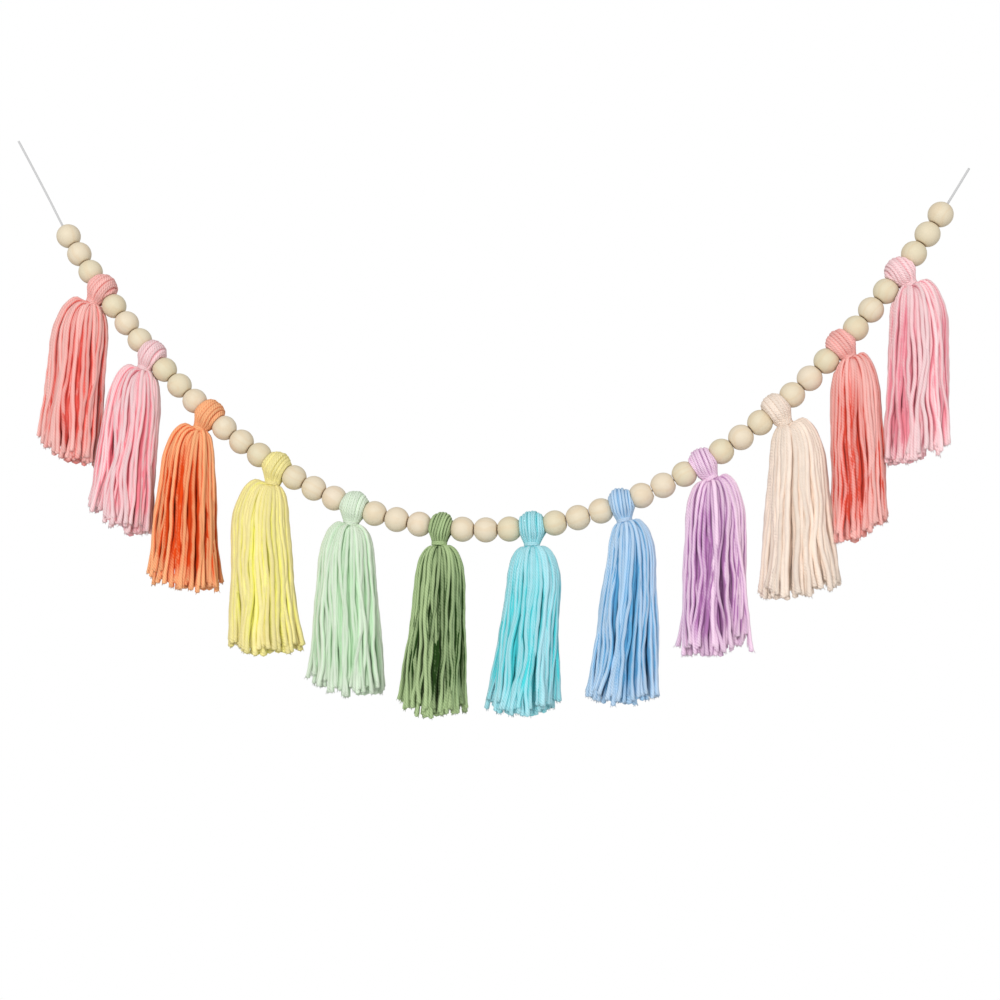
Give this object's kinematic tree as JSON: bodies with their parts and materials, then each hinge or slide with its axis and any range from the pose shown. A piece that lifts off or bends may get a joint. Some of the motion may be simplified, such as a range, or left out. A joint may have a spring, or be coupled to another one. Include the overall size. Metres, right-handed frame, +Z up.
{
  "type": "tassel garland",
  "caption": "Hanging garland of wooden beads and pastel yarn tassels threaded on one string, with free string ends to tie it up by.",
  "frame": {"origin": "left free end of the string, where the garland is tied up", "axes": "+X from the left end to the right end, +Y from the front to the back, +Z up; the string hangs in the XZ plane"},
  "size_m": [0.6279, 0.0441, 0.3834],
  "materials": {
    "wood": "unfinished pale turned wood, satin",
    "coral_pink_yarn": "plied yarn, matt with a soft sheen",
    "candy_pink_yarn": "plied yarn, matt with a soft sheen",
    "orange_yarn": "plied yarn, matt with a soft sheen",
    "yellow_yarn": "plied yarn, matt with a soft sheen",
    "mint_yarn": "plied yarn, matt with a soft sheen",
    "sage_yarn": "plied yarn, matt with a soft sheen",
    "aqua_yarn": "plied yarn, matt with a soft sheen",
    "sky_blue_yarn": "plied yarn, matt with a soft sheen",
    "lilac_yarn": "plied yarn, matt with a soft sheen",
    "cream_yarn": "plied yarn, matt with a soft sheen",
    "coral_red_yarn": "plied yarn, matt with a soft sheen",
    "rose_pink_yarn": "plied yarn, matt with a soft sheen",
    "string": "twisted white cotton string, matt"
  },
  "bodies": {
    "root": {"bead_01": "wood", "bead_02": "wood", "bead_03": "wood", "bead_04": "wood", "bead_05": "wood", "bead_06": "wood", "bead_07": "wood", "bead_08": "wood", "bead_09": "wood", "bead_10": "wood", "bead_11": "wood", "bead_12": "wood", "bead_13": "wood", "bead_14": "wood", "bead_15": "wood", "bead_16": "wood", "bead_17": "wood", "bead_18": "wood", "bead_19": "wood", "bead_20": "wood", "bead_21": "wood", "bead_22": "wood", "bead_23": "wood", "bead_24": "wood", "bead_25": "wood", "bead_26": "wood", "bead_27": "wood", "bead_28": "wood", "bead_29": "wood", "bead_30": "wood", "bead_31": "wood", "bead_32": "wood", "bead_33": "wood", "bead_34": "wood", "bead_35": "wood", "bead_36": "wood", "bead_37": "wood", "bead_38": "wood", "bead_39": "wood", "tassel_01": "coral_pink_yarn", "tassel_02": "candy_pink_yarn", "tassel_03": "orange_yarn", "tassel_04": "yellow_yarn", "tassel_05": "mint_yarn", "tassel_06": "sage_yarn", "tassel_07": "aqua_yarn", "tassel_08": "sky_blue_yarn", "tassel_09": "lilac_yarn", "tassel_10": "cream_yarn", "tassel_11": "coral_red_yarn", "tassel_12": "rose_pink_yarn", "string": "string"}
  },
  "joints": []
}
